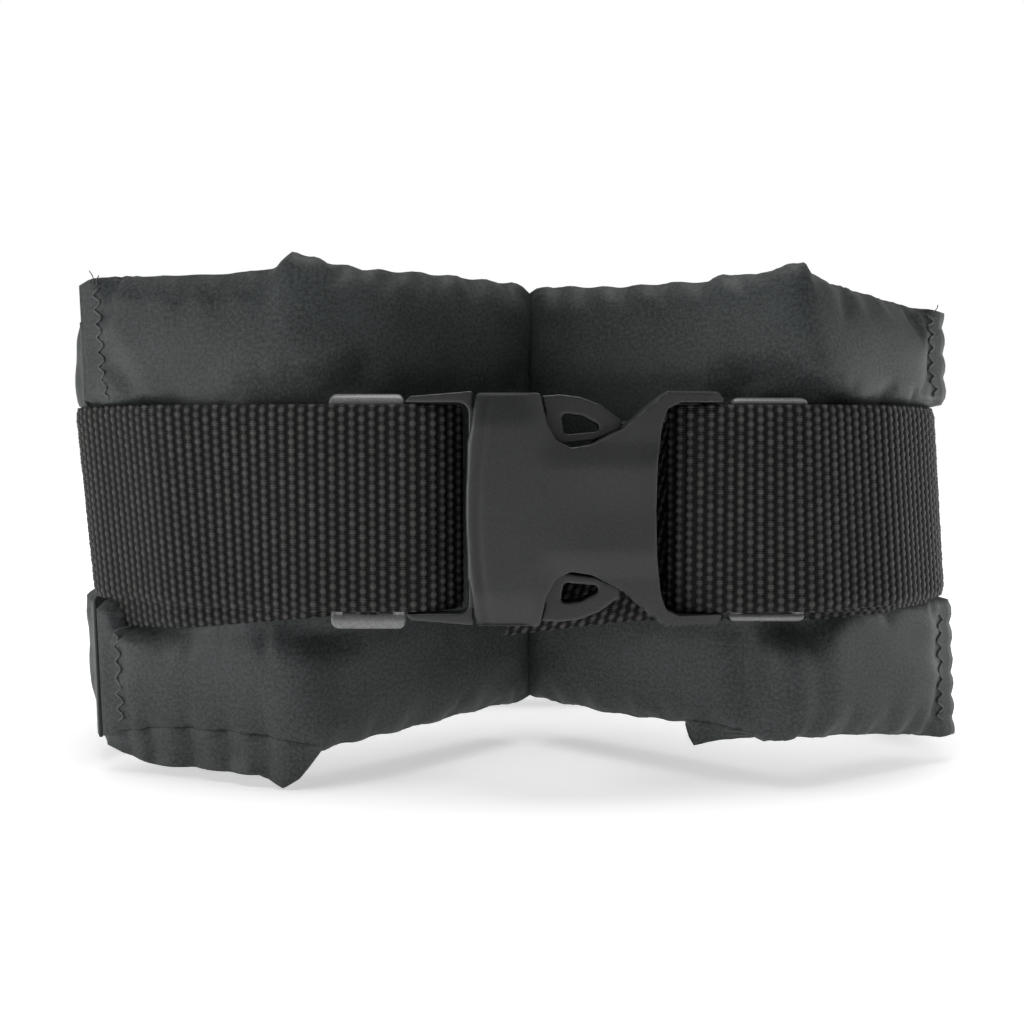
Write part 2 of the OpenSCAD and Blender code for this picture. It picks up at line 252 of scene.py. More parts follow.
def closed_sheet_quads(rows, columns):
    """Two grids of the same size, back to back, joined all round their border."""
    size = rows * columns
    border = np.concatenate([
        np.arange(columns),
        np.arange(1, rows) * columns + columns - 1,
        (rows - 1) * columns + np.arange(columns - 2, -1, -1),
        np.arange(rows - 2, -1, -1) * columns,
    ])
    a, b = border[:-1], border[1:]
    rim = np.stack([b, a, a + size, b + size], axis=-1)
    return np.concatenate([grid_quads(rows, columns), grid_quads(rows, columns, size, True), rim])


def dressed(obj, material, body, slot, *nodes):
    """Gives a new piece its material and its body, and hides the CAD nodes it stands for; slot is not
    used.

    body is None for a piece that is left without a body."""
    obj.data.materials.clear()
    obj.data.materials.append(material)
    if body:
        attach(obj, body)
    if nodes:
        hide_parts(*nodes)
    return obj


THREAD_SIDES = 6
THREAD_TIP = 0.4          # radius at a thread's ends, as a share of the rest
OFF_AXIS = (0.31, 0.22, 0.92)  # a direction that no thread runs along


def tube(path, radius):
    """Points and quads of a thin round thread along a path of 3-D points."""
    path = np.asarray(path, float)
    along = np.gradient(path, axis=0)
    along /= np.linalg.norm(along, axis=1)[:, None]
    across = np.cross(along, OFF_AXIS)
    across /= np.linalg.norm(across, axis=1)[:, None]
    up = np.cross(across, along)
    angle = np.linspace(0, 2 * np.pi, THREAD_SIDES, endpoint=False)
    size = np.full(len(path), radius)
    size[[0, -1]] = THREAD_TIP * radius
    ring = across[:, None] * np.cos(angle)[None, :, None] + up[:, None] * np.sin(angle)[None, :, None]
    points = (path[:, None] + ring * size[:, None, None]).reshape(-1, 3)
    i, k = np.meshgrid(np.arange(len(path) - 1), np.arange(THREAD_SIDES), indexing="ij")
    a, b = i * THREAD_SIDES + k, i * THREAD_SIDES + (k + 1) % THREAD_SIDES
    quads = np.stack([a, b, b + THREAD_SIDES, a + THREAD_SIDES], axis=-1).reshape(-1, 4)
    # Two quads close each end of a six-sided thread.
    end_cap = np.array([[0, 1, 2, 3], [0, 3, 4, 5]])
    return points, np.concatenate([quads, end_cap[:, ::-1], end_cap + (len(path) - 1) * THREAD_SIDES])


def threads(name, paths, radius, nodes=()):
    """Several thread paths as one piece of stitching."""
    points, quads, count = [], [], 0
    for path in paths:
        thread_points, thread_quads = tube(path, radius)
        points.append(thread_points)
        quads.append(thread_quads + count)
        count += len(thread_points)
    obj = mesh_object(name, np.concatenate(points), np.concatenate(quads))
    return dressed(obj, THREAD, "belt", "thread", *nodes)


# ---- materials ----

class Shade:
    """Makes and joins the nodes of one tree. A value is either a node's output or a constant."""

    def __init__(self, tree):
        self.tree = tree

    def feed(self, node, values):
        for key, value in values.items():
            if isinstance(value, bpy.types.NodeSocket):
                self.tree.links.new(value, node.inputs[key])
            else:
                node.inputs[key].default_value = value

    def node(self, kind, values, **settings):
        node = self.tree.nodes.new("ShaderNode" + kind)
        for key, value in settings.items():
            setattr(node, key, value)
        self.feed(node, values)
        return node

    def coordinates(self, source):
        return self.node("TexCoord", {}).outputs[source]

    def noise(self, vector, scale, detail=3, roughness=0.6):
        values = {"Vector": vector, "Scale": scale, "Detail": detail, "Roughness": roughness}
        return self.node("TexNoise", values).outputs["Fac"]

    def wave(self, vector, direction, scale):
        values = {"Vector": vector, "Scale": scale}
        return self.node("TexWave", values, bands_direction=direction).outputs["Fac"]

    def math(self, operation, a, b):
        return self.node("Math", {0: a, 1: b}, operation=operation).outputs[0]

    def weighted(self, a, b, share):
        """A value made of share parts of a and the rest of b."""
        return self.math("ADD", self.math("MULTIPLY", a, share), self.math("MULTIPLY", b, 1 - share))

    def plain_weave(self, vector, scale):
        """Threads crossing at right angles."""
        return self.math("MULTIPLY", self.wave(vector, "X", scale), self.wave(vector, "Y", scale))

    def ramp(self, value, low, high, at=(0.3, 0.7)):
        """A colour that goes from low to high as value goes between the two numbers of at."""
        node = self.node("ValToRGB", {"Fac": value})
        for element, position, colour in zip(node.color_ramp.elements, at, (low, high)):
            element.position = position
            element.color = (*colour, 1)
        return node.outputs["Color"]

    def spread(self, value, low, high, within=(0, 1)):
        """A number that goes from low to high as value goes between the two numbers of within."""
        values = {"From Min": within[0], "From Max": within[1], "To Min": low, "To Max": high}
        return self.node("MapRange", {"Value": value, **values}).outputs["Result"]

    def bump(self, height, distance, strength, under=None):
        """A surface direction from a height; distance is in metres, and under is another bump."""
        node = self.node("Bump", {"Height": height, "Distance": distance, "Strength": strength})
        if under is not None:
            self.feed(node, {"Normal": under})
        return node.outputs["Normal"]


class Looks(Shade):
    """A new material, whose surface is set last."""

    def __init__(self, name):
        self.material = bpy.data.materials.new(name)
        self.material.use_nodes = True
        super().__init__(self.material.node_tree)

    def surface(self, values):
        self.feed(self.tree.nodes["Principled BSDF"], values)
        return self.material


def cover_fabric():
    """Thin plain-woven nylon: fine weave, mottled yarn and a faint sheen. UVs are in mm."""
    looks = Looks("cover_fabric")
    uv = looks.coordinates("UV")
    blotch = looks.noise(uv, scale=0.03)
    grain = looks.noise(uv, scale=1.1, roughness=0.8)
    woven = looks.bump(looks.plain_weave(uv, 0.85), distance=0.00006, strength=0.5)
    return looks.surface({
        "Base Color": looks.ramp(looks.weighted(blotch, grain, 0.25), low=(0.0118, 0.0143, 0.0143),
                                 high=(0.0435, 0.05, 0.05), at=(0.4, 0.6)),
        "Roughness": looks.spread(grain, 0.44, 0.6),
        "Normal": looks.bump(grain, distance=0.00008, strength=0.6, under=woven),
        "Sheen Weight": 0.04,
        "Specular IOR Level": 0.3,
    })


def webbing_fabric():
    """Coarse polypropylene webbing. The ribs are in the mesh; this adds the yarn inside each one,
    painted shade in the gaps between the ribs and a painted highlight on their crowns.
    """
    looks = Looks("webbing_fabric")
    uv = looks.coordinates("UV")
    fluff = looks.noise(uv, scale=2.2, detail=4, roughness=0.75)
    rib = looks.node("Attribute", {}, attribute_name="rib").outputs["Fac"]
    yarn = looks.bump(looks.wave(uv, "Y", 0.55), distance=0.00012, strength=0.6)
    return looks.surface({
        # Painted shade and painted highlight: near black in the gaps between ribs, light grey on the
        # crowns.
        "Base Color": looks.ramp(looks.weighted(rib, fluff, 0.75), low=(0.0005, 0.0005, 0.0005),
                                 high=(0.088, 0.087, 0.083), at=(0.38, 0.98)),
        "Roughness": looks.spread(fluff, 0.42, 0.68),
        "Normal": looks.bump(fluff, distance=0.00015, strength=0.5, under=yarn),
        "Specular IOR Level": 0.2,
    })


def moulded_plastic(name, dark, light, roughness, grain_depth):
    """Moulded acetal: fine spark-eroded grain, with a painted highlight that lightens its sharp edges.
    """
    looks = Looks(name)
    place = looks.coordinates("Object")
    grain = looks.noise(place, scale=1500, roughness=0.7)
    cloud = looks.noise(place, scale=60, roughness=0.5)
    pointed = looks.node("NewGeometry", {}).outputs["Pointiness"]
    base = looks.ramp(grain, low=tuple(c * 0.8 for c in dark), high=tuple(c * 1.35 for c in dark))
    # Painted highlight: sharp edges, found by pointiness, take the light colour.
    mix = looks.node("Mix", {}, data_type="RGBA")
    looks.feed(mix, {
        "Factor": looks.ramp(pointed, (0, 0, 0), (1, 1, 1), at=(0.5, 0.6)),
        MIX_A: base,
        MIX_B: (*light, 1),
    })
    return looks.surface({
        "Base Color": mix.outputs[MIX_RESULT],
        "Roughness": looks.spread(cloud, roughness - 0.05, roughness + 0.07),
        "Normal": looks.bump(grain, grain_depth, strength=0.6),
    })


def thread_material():
    """Twisted grey polyester thread."""
    looks = Looks("thread")
    twist = looks.noise(looks.coordinates("Object"), scale=3500, detail=2)
    return looks.surface({
        "Base Color": looks.ramp(twist, (0.035, 0.037, 0.038), (0.11, 0.113, 0.117)),
        "Roughness": 0.7,
        "Normal": looks.bump(twist, distance=0.0001, strength=0.7),
    })


def bag_fabric():
    """Pale woven cloth of the bags that hold the shot."""
    looks = Looks("bag_fabric")
    weave = looks.plain_weave(looks.coordinates("UV"), 0.3)
    return looks.surface({
        "Base Color": looks.ramp(weave, (0.2, 0.21, 0.22), (0.33, 0.34, 0.35)),
        "Roughness": 0.8,
        "Normal": looks.bump(weave, distance=0.0002, strength=0.8),
    })


def shot_metal():
    """Dull lead, oxidised unevenly."""
    looks = Looks("lead_shot")
    oxide = looks.noise(looks.coordinates("Object"), scale=300, detail=4)
    return looks.surface({
        "Base Color": looks.ramp(oxide, (0.12, 0.125, 0.13), (0.26, 0.265, 0.27)),
        "Roughness": looks.spread(oxide, 0.4, 0.7),
        "Metallic": 0.7,
    })


# Sockets of a Mix node that mixes colours.
MIX_A = 6
MIX_B = 7
MIX_RESULT = 2

FABRIC = cover_fabric()
WEBBING = webbing_fabric()
# light is the painted highlight on the buckle's sharp edges.
PLASTIC = moulded_plastic("buckle_plastic", dark=(0.016, 0.0167, 0.0173), light=(0.045, 0.047, 0.049),
                          roughness=0.42, grain_depth=0.0001)
# The sliders are black plastic: their grey colours are a painted reflection of the bright tent, and
# their edges get the painted highlight.
SLIDER_PAINTED_REFLECTION = moulded_plastic("slider_plastic", dark=(0.15, 0.15, 0.153), light=(0.22, 0.22, 0.223),
                         roughness=0.26, grain_depth=0.00001)
THREAD = thread_material()
BAG = bag_fabric()
SHOT = shot_metal()


# ---- lines of the webbing ----

LAYER = WEB_T + 0.35      # from one layer of webbing to the next
MALE_LOOP = [
    [-29, 1], [-23.5, 1.2], [-18.6, 2.8], [-15.4, 5.2], [-12.9, 7.6], [-12.2, 9.4], [-14.4, 10.4],
    [-19, 9.2], [-25.5, 5.9]]
FEMALE_LOOP = [
    [50, 1], [43.6, 1.2], [39.4, 3], [38, 5.4], [39.4, 7.6], [43.6, 8.2], [48.5, 7.4], [52.6, 5.6]]
SLIDER_W = 18.0
SLIDER_BAR = 3.0
LEFT_SLIDER_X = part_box("left_slider")[0].x / MM - DATUM_X
RIGHT_SLIDER_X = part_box("right_slider")[0].x / MM - DATUM_X
BEHIND_SLIDER = 5.45      # depth of the webbing behind a slider's end bars
OVER_BAR = BEHIND_SLIDER - WEB_T - 0.25
TAIL_Y = 10.6             # depth of the spare tail behind the buckle
BUCKLE_BACK = 7.6         # depth of the space that the buckle and the left slider take up
BUCKLE_GAP = 0.7          # from the spare tail to the pouch behind it
SIDE_GAP = 1.6            # from the middle of the webbing to the pouches at the sides
BACK_GAP = 4.0            # and to the one at the back, where two layers lie

web_back = RING_BACK - WEB_T / 2
web_front = WEB_T / 2
left_side = -LEFT_REACH - 0.8
right_side = RIGHT_REACH - WEB_T / 2
left_sweep = [
    [-60, web_back], [-94, web_back - 9], [left_side + 3.7, RING_BACK - 32], [left_side - 0.4, 50],
    [-112.5, 27.5], [-87, 10], [-50, web_front], [-30, web_front]]
right_sweep = [
    [62, web_back], [97, web_back - 9], [right_side - 3.7, RING_BACK - 32], [right_side + 0.3, 52],
    [112.5, 28.5], [95, 11.5], [71, web_front], [51, web_front]]

# Plan lines just behind the webbing, sliders and spare tail: the pouches stay inside them.
behind_tail = TAIL_Y + WEB_T / 2 + BUCKLE_GAP
left_whole = smooth_line(left_sweep, 12)
right_whole = smooth_line(right_sweep[::-1], 12)
LEFT_ROOM = smooth_line([
    [-116.5, 52], [-107.5, 31], [-84, 16], [-72, BUCKLE_BACK], [-20, BUCKLE_BACK], [10, 12]], 6)
RIGHT_ROOM = smooth_line([
    [-20, behind_tail], [50, behind_tail], [76, 9.9], [90.5, 17.5], [106, 32.5], [113.5, 52.6]], 6)
LEFT_WRAP = left_whole + inward(left_whole) * SIDE_GAP
RIGHT_WRAP = right_whole + inward(right_whole) * SIDE_GAP
BACK_WRAP = np.array([[x, web_back - BACK_GAP] for x in (60, 0, -60)])


# ---- pouches ----

SEAM_HALF = 0.45          # half thickness of the cover at its seams
COVER_ROWS = 76
COVER_STEP = 1.5          # between the cover's columns of points
FILL_ROWS = 48
FILL_STEP = 3.0
BAG_INSET = 1.8           # how far each filling stays inside the cover's outline
SHOT_INSET = 3.0
INNER_GAP = 1.2           # kept between the two sheets where the webbing presses them
INNER_UV = 300.0          # moves the inner sheet's weave away from the outer sheet's

# Heights between which the hold on a pouch fades out.
WEB_BAND = (23.6, 26.4)   # behind the webbing
SLIDER_BAND = (28, 35)    # behind the sliders and the buckle
TAIL_BAND = (31.6, 34)    # behind the slack tail on the left, which hangs down

# Where along x the sliders and buckle, and the slack tail, begin and end.
HARDWARE_STARTS = (-75, -61)
HARDWARE_ENDS = (73, 88)
TAIL_STARTS = (-106, -103)
TAIL_ENDS = (-62, -56)


def between(x, starts, ends):
    """1 from starts to ends, fading in over the first pair and out over the second."""
    return smoothstep(starts[0], starts[1], x) * smoothstep(ends[1], ends[0], x)


def held_share(x, z):
    """How much of a pouch's surface is held back by the webbing and hardware in front of it."""
    hardware = between(x, HARDWARE_STARTS, HARDWARE_ENDS)
    tail = between(x, TAIL_STARTS, TAIL_ENDS) * (z < 0)
    low, high = (
        np.maximum(web + (slider - web) * hardware, web + (slack - web) * tail)
        for web, slider, slack in zip(WEB_BAND, SLIDER_BAND, TAIL_BAND))
    return 1 - smoothstep(0, 1, (np.abs(z) - low) / (high - low))


def fold_field(s, z, folds):
    """Soft folds: each is (s0, z0, s1, z1, width, depth), a ridge if depth is above 0."""
    field = np.zeros_like(s)
    for s0, z0, s1, z1, width, depth in folds:
        run = np.array([s1 - s0, z1 - z0])
        t = np.clip(((s - s0) * run[0] + (z - z0) * run[1]) / (run @ run), 0, 1)
        gap = np.hypot(s - s0 - t * run[0], z - z0 - t * run[1])
        field += depth * bell(gap, width)
    return field


def end_swell(s, flat, run):
    """0 on the flat flange at one end, rising to 1 inside, as a quarter ellipse."""
    t = np.clip((s - flat) / run, 0, 1)
    return np.sqrt(1 - (1 - t) ** 2)


def at_shares(s, points):
    """Values at lengths s, from pairs of a share of the whole length and a value."""
    shares, values = zip(*points)
    return np.interp(s / s[-1], shares, values)


def rippled_edge(s, height, ripple, wavelength, seed):
    """An edge height with the small waves that its seam draws up."""
    return height + ripple * np.sin(2 * np.pi * s / wavelength + 2.5 * soft_noise(s, 0 * s, 30, seed))


def pouch_relief(s, z, from_edge, from_ends, seed):
    """Puckers at the seams, broad swells and faint wrinkles."""
    pucker = np.sin(2 * np.pi * s / 11 + 3 * soft_noise(s, z, 22, seed)) * np.exp(-from_edge / 4.5)
    gather = np.sin(2 * np.pi * z / 13 + 3 * soft_noise(s, z, 18, seed + 1)) * np.exp(-from_ends / 8)
    gather = gather * np.clip((from_ends - 4) / 3, 0, 1)
    broad = soft_noise(s + 100, z + 100, 34, seed + 2)
    fine = soft_noise(s, z, 12, seed + 3)
    return 0.45 * pucker + 0.8 * gather + 0.8 * broad + 0.3 * fine


def end_waves(spec, s, z):
    """How far a pouch's far end is drawn out along its line, in waves that its stitching makes."""
    height, length = spec.get("end_wave", (0, 1))
    wander = 0.6 * soft_noise(z, 0 * z, 20, spec["seed"])
    return height * np.abs(np.sin(np.pi * z / length + wander)) * smoothstep(s[-1] - 5, s[-1], s)


def pouch_section(spec, s, t, inset):
    """Half thickness, depth of the middle, and two shares that are 0 at the long seams and at all
    seams. t goes from -1 at the bottom seam to 1 at the top one."""
    start = end_swell(s, spec["flats"][0], spec["runs"][0])
    finish = end_swell(s[-1] - s, spec["flats"][1], spec["runs"][1])
    edge = np.sqrt(np.clip(1 - np.abs(t) ** spec["square"], 0, 1))
    full = spec["thick"] / 2
    half = SEAM_HALF + (full - inset - SEAM_HALF) * start * finish * edge
    first, last = spec["end_depth"]
    middle = full + (first - full) * (1 - start) + (last - full) * (1 - finish)
    middle = middle + (spec["seam_depth"] - full) * (1 - edge) * start * finish
    return half, middle, np.clip(edge * 1.5, 0, 1), np.clip(edge * start * finish * 1.6, 0, 1)


def pouch_surface(spec, inset=0, rows=COVER_ROWS, step=COVER_STEP):
    """Points of the outer and inner sheets of a pouch, as (2, rows, columns, 3), and its UVs."""
    line = smooth_line(spec["line"], spec["softness"], step)
    normal = inward(line)
    tangent = np.stack([normal[:, 1], -normal[:, 0]], axis=1)
    s = distances(line)
    seed = spec["seed"]
    ripple = at_shares(s, spec["ripple"])
    top = rippled_edge(s, at_shares(s, spec["top"]), ripple, 10.5, seed) - inset
    bottom = rippled_edge(s, at_shares(s, spec["bottom"]), ripple, 12, seed + 1) + inset
    t = np.sin(np.linspace(-1, 1, rows) * np.pi / 2)[:, None]
    z = (top + bottom) / 2 + (top - bottom) / 2 * t
    from_edge = (top - bottom) / 2 * (1 - np.abs(t))
    half, middle, off_edge, off_seams = pouch_section(spec, s, t, inset)
    waves = end_waves(spec, s, z)
    grid_s = np.broadcast_to(s, z.shape)
    from_ends = np.minimum(grid_s, s[-1] - grid_s)
    sheets = []
    for side, side_seed in ((-1, seed + 10), (1, seed + 20)):
        relief = pouch_relief(grid_s, z, from_edge, from_ends, side_seed)
        relief = spec.get("relief", 1) * relief * off_seams
        if side < 0:
            relief = relief + fold_field(grid_s, z, spec.get("folds", ())) * off_edge
        plan = line + normal * (middle + side * (half + relief))[..., None] + tangent * waves[..., None]
        depth, direction = depth_behind(plan, spec["room"])
        needed = inset + (0.0 if side < 0 else INNER_GAP)
        push = np.clip(needed - depth, 0, None) * held_share(plan[..., 0], z)
        plan = plan + direction * push[..., None]
        sheets.append(np.concatenate([plan, z[..., None]], axis=-1))
    uv = np.stack([grid_s, z], axis=-1)
    sheets, uv = np.stack(sheets), np.stack([uv, uv + [INNER_UV, 0]])
    if inset:
        filled = (s > spec["flats"][0] + inset) & (s < s[-1] - spec["flats"][1] - inset)
        sheets, uv = sheets[:, :, filled], uv[:, :, filled]
    return sheets, uv


def on_outer_sheet(sheets, uv, lengths, heights, lift):
    """Points of a pouch's outer sheet at these lengths and heights, lifted outwards by lift."""
    columns = uv[0, 0, :, 0]
    found = []
    for s, z in zip(lengths, heights):
        column = np.interp(s, columns, np.arange(len(columns)))
        c0 = min(int(column), len(columns) - 2)
        point = np.zeros(3)
        for c, weight in ((c0, 1 - (column - c0)), (c0 + 1, column - c0)):
            row = sheets[0, :, c]
            point += weight * np.array([np.interp(z, row[:, 2], row[:, k]) for k in (0, 1, 2)])
        out = sheets[0, 0, c0 + 1, :2] - sheets[0, 0, c0, :2]
        out = np.array([out[1], -out[0], 0]) / np.hypot(*out)
        found.append(point + out * lift)
    return np.array(found)


SIM_SCALE = 10.0          # pouches are simulated ten times life size, where cloth settles steadily
SIM_FRAMES = 20
SIM_REACH = 0.9           # furthest that the simulation may move the cloth


def settled(points, quads, loose):
    """Points after the cloth has been blown up a little; loose is 0 where a seam holds it."""
    shape = points.shape
    mesh = bpy.data.meshes.new("settling")
    mesh.from_pydata((points.reshape(-1, 3) * MM * SIM_SCALE).tolist(), [], quads.tolist())
    obj = bpy.data.objects.new("settling", mesh)
    bpy.context.scene.collection.objects.link(obj)
    group = obj.vertex_groups.new(name="held")
    held = 1 - loose.ravel()
    for level in np.unique(np.round(held, 1)):
        members = np.flatnonzero(np.round(held, 1) == level)
        group.add(members.tolist(), float(level), "REPLACE")
    cloth = obj.modifiers.new("cloth", "CLOTH")
    cloth.point_cache.frame_start = 1
    cloth.point_cache.frame_end = SIM_FRAMES
    settings = cloth.settings
    settings.quality = 5
    settings.mass = 0.3
    settings.tension_stiffness = 12
    settings.compression_stiffness = 12
    settings.shear_stiffness = 5
    settings.bending_stiffness = 0.15
    settings.shrink_min = -0.03
    settings.use_pressure = True
    settings.uniform_pressure_force = 4
    settings.vertex_group_mass = "held"
    settings.effector_weights.gravity = 0
    cloth.collision_settings.use_collision = False
    for frame_number in range(1, SIM_FRAMES + 1):
        bpy.context.scene.frame_set(frame_number)
    evaluated = obj.evaluated_get(bpy.context.evaluated_depsgraph_get())
    moved = np.empty(points.size, np.float32)
    evaluated.data.vertices.foreach_get("co", moved)
    bpy.context.scene.frame_set(1)
    bpy.data.objects.remove(obj)
    shift = moved.reshape(-1, 3) / MM / SIM_SCALE - points.reshape(-1, 3)
    length = np.linalg.norm(shift, axis=1)[:, None]
    shift *= SIM_REACH * np.tanh(length / SIM_REACH) / np.maximum(length, TINY)
    return (points.reshape(-1, 3) + shift).reshape(shape)


SEAM_WIDTH = 4.0          # over which the cloth comes loose from its ends
SEAM_ROWS = 3             # and from its top and bottom, in rows of points


def looseness(sheets, uv, spec):
    """1 where the cloth is free, 0 along its seams, on its end flanges and behind the webbing."""
    s = uv[0, 0, :, 0]
    first, last = spec["flats"]
    ends = np.clip((s - first) / SEAM_WIDTH, 0, 1) * np.clip((s[-1] - s - last) / SEAM_WIDTH, 0, 1)
    row = np.arange(sheets.shape[1])
    free = np.clip(np.minimum(row, row[::-1]) / SEAM_ROWS, 0, 1)[:, None] * ends[None, :]
    behind_web = 1 - held_share(sheets[0, ..., 0], sheets[0, ..., 2])
    return np.stack([free * behind_web, free])


def sheet_object(name, sheets, uv, lean):
    """The two sheets of a pouch or of its filling as one closed mesh."""
    rows, columns = sheets.shape[1:3]
    return mesh_object(name, leaned(sheets, lean), closed_sheet_quads(rows, columns), uv)


def pouch(name, spec):
    """A sewn cover with its shot bag and its fill of lead shot."""
    sheets, uv = pouch_surface(spec)
    rows, columns = sheets.shape[1:3]
    sheets = settled(sheets, closed_sheet_quads(rows, columns), looseness(sheets, uv, spec))
    cover = sheet_object(name + "_cover", sheets, uv, spec["lean"])
    dressed(cover, FABRIC, "belt", "cover_fabric", name + "_outer_panel", name + "_inner_panel")
    for part, inset, material, slot in (
            ("shot_bag", BAG_INSET, BAG, "bag_fabric"), ("lead_shot", SHOT_INSET, SHOT, "shot")):
        fill, fill_uv = pouch_surface(spec, inset, FILL_ROWS, FILL_STEP)
        piece = sheet_object(name + "_" + part + "_fill", fill, fill_uv, spec["lean"])
        dressed(piece, material, "belt", slot, name + "_" + part)
    return sheets, uv


# Entries of a pouch, where s is the length along its line:
#   line, softness: its outer face seen from above, and the rounding of its corners
#   room: the line that the held part of its face stays behind
#   top, bottom, ripple: heights and seam waves, as (share of s, value)
#   thick, square: thickness, and how suddenly it swells from its seams
#   flats, runs: at each end, the flat flange and the length over which it swells
#   end_depth, seam_depth: depths of its end and long seams behind the line
#   end_wave: height and length of the waves at its far end
#   folds: (s0, z0, s1, z1, width, depth), see fold_field()
#   relief, seed: strength and seed of its wrinkles
CREASE_Y = 50.0           # where the two front pouches meet, behind the buckle
FRONT = dict(softness=15, thick=17, square=9, seam_depth=5)
FRONT_LEFT = dict(
    FRONT,
    seed=11,
    room=LEFT_ROOM,
    lean=FRONT_LEAN,
    line=[[-109.8, 21.6], [-48.5, 2.2], [5.9, CREASE_Y]],
    top=[
        (0, 56.2), (0.02, 57.4), (0.06, 58.4), (0.3, 57.8), (0.395, 58.6), (0.415, 60.6), (0.435, 62.3),
        (0.46, 61.6), (0.52, 60.2), (0.6, 59.6), (0.75, 60.6), (0.9, 60.8), (0.972, 60.8), (0.988, 60),
        (1, 57.8)],
    bottom=[
        (0, -61), (0.1, -60.5), (0.35, -60.5), (0.45, -61.5), (0.55, -60.6), (0.7, -60.2), (0.85, -59.2),
        (0.975, -58.8), (0.99, -58.2), (1, -56.8)],
    ripple=[(0, 0.08), (0.44, 0.08), (0.5, 0.28), (1, 0.28)],
    flats=(5.4, 0.2),
    runs=(9, 7),
    end_depth=(1.4, 1.2),
    folds=[
        (68, -34, 71, -50, 5, -1.6),
        (60, -30, 72, -31, 4.5, -3.4),
        (62, 29, 78, 33, 5, -3.6),
        (12, 53, 45, 52, 2.5, 0.5),
        (9, 40, 15, 30, 3, -0.8),
    ])
FRONT_RIGHT = dict(
    FRONT,
    seed=37,
    room=RIGHT_ROOM,
    lean=0.05,
    line=[[4.1, CREASE_Y], [70, 2], [117, 31]],
    end_wave=(1.3, 6.6),
    top=[
        (0, 57.6), (0.012, 59.4), (0.03, 60), (0.2, 58), (0.35, 57.6), (0.4, 57), (0.43, 58.6),
        (0.5, 57.6), (0.57, 59.2), (0.625, 59.9), (0.637, 57.8), (0.7, 55.6), (0.88, 52.6), (1, 50.4)],
    bottom=[
        (0, -56.6), (0.012, -57.8), (0.04, -58.2), (0.2, -59), (0.4, -57.9), (0.48, -58), (0.52, -59.9),
        (0.6, -57.8), (0.72, -58.8), (0.82, -60.6), (0.91, -62.4), (0.97, -63.6), (1, -63.2)],
    ripple=[(0, 0.25), (0.5, 0.2), (0.62, 0.1), (1, 0.1)],
    flats=(0.2, 4.4),
    runs=(7, 9),
    end_depth=(1.2, 1.4),
    folds=[
        (66, -32, 69, -52, 5, -1.8),
        (76, -31, 79, -48, 4, 1.2),
        (84, -31, 86, -52, 4, -1),
        (64, 29, 78, 33, 4.5, -3.6),
        (74, -29, 82, -29, 4, -3.4),
    ])
SIDE_TOP = [(0, 55), (0.03, 56.5), (0.1, 57.5), (0.9, 57.5), (0.97, 56.5), (1, 55)]
SIDE = dict(
    softness=16,
    top=SIDE_TOP,
    bottom=[(share, -z) for share, z in SIDE_TOP],
    ripple=[(0, 0.4), (1, 0.4)],
    thick=17,
    square=5,
    flats=(4, 4),
    runs=(11, 11),
    end_depth=(3, 3),
    seam_depth=7,
    relief=1.4,
    lean=SIDE_LEAN)
RIGHT = dict(
    SIDE,
    seed=53,
    room=RIGHT_WRAP,
    top=[(0, 46), (0.06, 49), (0.16, 57.5), (0.9, 57.5), (1, 55)],
    line=[
        [110, 41], [RIGHT_REACH - 4, 60], [RIGHT_REACH - 8, RING_BACK - 32],
        [RIGHT_REACH - 27, RING_BACK - 11], [58, RING_BACK - 4]])
BACK = dict(
    SIDE,
    seed=71,
    room=BACK_WRAP,
    line=[
        [53, RING_BACK - 6], [18, RING_BACK - 19], [-22, RING_BACK - 19],
        [-57, RING_BACK - 6]])
LEFT = dict(
    SIDE,
    seed=97,
    room=LEFT_WRAP,
    lean=0.02,
    relief=0.7,
    end_depth=(3, 1),
    top=[(0, 55), (0.1, 57.5), (0.84, 57), (0.89, 55.6), (0.93, 53.4), (0.96, 50.6), (1, 44)],
    bottom=[(0, -55), (0.1, -57.5), (0.78, -58), (0.88, -60), (0.95, -63), (1, -63.5)],
    line=[
        [-61, RING_BACK - 4], [-LEFT_REACH + 25, RING_BACK - 11],
        [-LEFT_REACH + 3, RING_BACK - 32], [-LEFT_REACH - 2, 54], [-LEFT_REACH - 2.2, 41],
        [-LEFT_REACH + 4.6, 29.5]])

front_left = pouch("front_left", FRONT_LEFT)
front_right = pouch("front_right", FRONT_RIGHT)
pouch("right", RIGHT)
pouch("back", BACK)
pouch("left", LEFT)


# ---- spare cloth below the front pouches ----

FLAP_STEP = 1.2
FLAP_ROWS = 15
FLAP_HEAD = -0.35         # lift of its upper edge: it starts behind the pouch's outer sheet
FLAP_LEAN_OUT = 2.0       # how much further back its lower edge hangs

# reach is a stretch of s; top and bottom are heights, as (share of the reach, height).
FRONT_LEFT_FLAP = dict(
    seed=131,
    reach=(0.2, 67),
    top=[(0, -60), (0.15, -58.6), (0.3, -57), (0.6, -56.6), (0.85, -57.6), (1, -59.4)],
    bottom=[
        (0, -64), (0.1, -66.6), (0.2, -68.6), (0.42, -68.2), (0.7, -67.8), (0.81, -70.6),
        (0.88, -68), (0.94, -64), (1, -60)])
FRONT_RIGHT_FLAP = dict(
    seed=137,
    reach=(49.5, 70),
    top=[(0, -56.6), (0.5, -57), (1, -57.6)],
    bottom=[(0, -59), (0.1, -64), (0.45, -61.6), (0.9, -59.4), (1, -58.5)])


